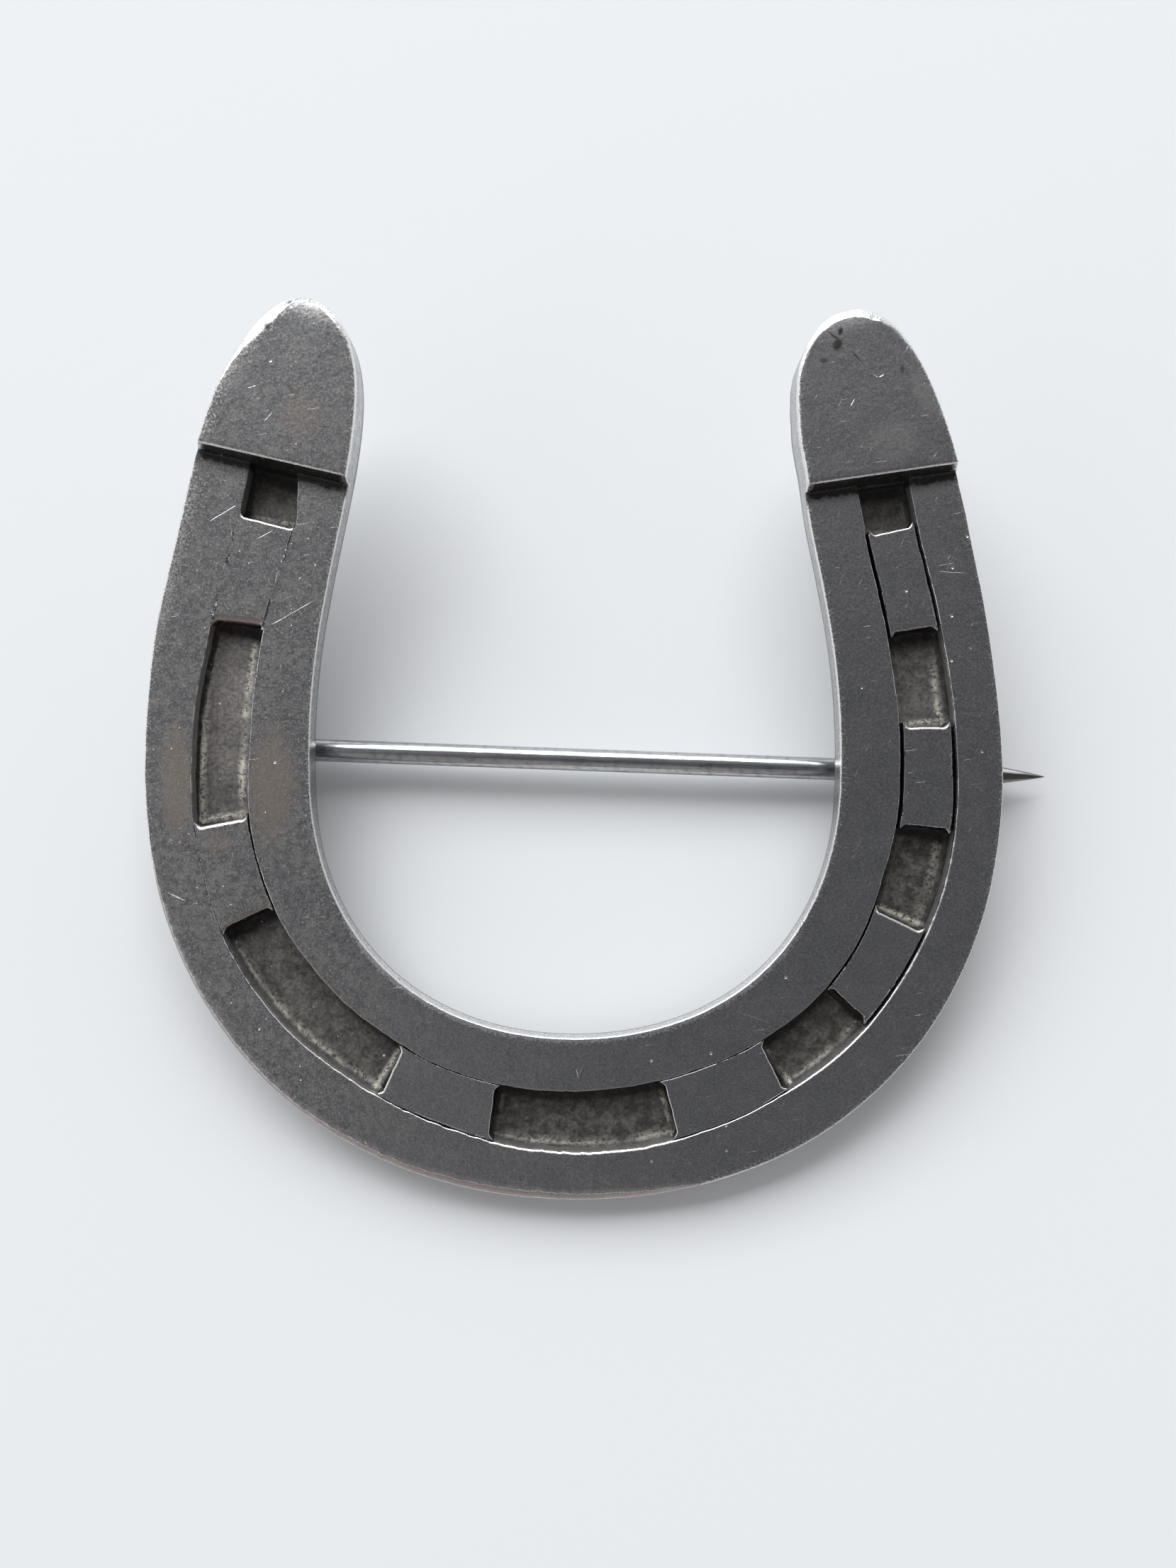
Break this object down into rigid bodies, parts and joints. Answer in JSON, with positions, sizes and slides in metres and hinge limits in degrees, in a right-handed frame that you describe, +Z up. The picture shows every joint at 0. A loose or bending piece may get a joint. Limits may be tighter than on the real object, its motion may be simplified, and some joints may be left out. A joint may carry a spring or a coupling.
{
  "type": "horseshoe brooch",
  "caption": "Silver brooch shaped as a horseshoe: a groove with flush nail heads, raised heel caps, and on its back a hinged pin and a hook.",
  "frame": {"origin": "middle of the footprint of the whole brooch, on the surface that it lies on, as it rests face up on its hinge, its hook and the back edge of its toe", "axes": "+Z up; +Y from the toe to the heels; +X from the hinge side to the pin's point; the shoe's plane is tilted 8.16 degrees about X, toe down"},
  "size_m": [0.051, 0.0492, 0.0096],
  "materials": {
    "worn_silver": "satin worn silver with a dark patina in the groove, fine scratches, bright worn edges",
    "nail_silver": "satin worn silver, dark in the lines round each head",
    "pin_metal": "polished white metal wire with fine marks along it"
  },
  "bodies": {
    "shoe": {"horseshoe": "worn_silver", "nail_head_1": "nail_silver", "nail_head_2": "nail_silver", "nail_head_3": "nail_silver", "nail_head_4": "nail_silver", "nail_head_5": "nail_silver", "nail_head_6": "nail_silver", "nail_head_7": "nail_silver", "hinge_rivet": "pin_metal"},
    "pin_body": {"pin": "pin_metal"}
  },
  "joints": [
    {"name": "pin_swing", "type": "hinge", "parent": "shoe", "child": "pin_body", "pos_m": [-0.02106, 0.00081, 0.00159], "axis": [0.0366, 0.9892, 0.1419], "range_deg": [0, 110]}
  ]
}
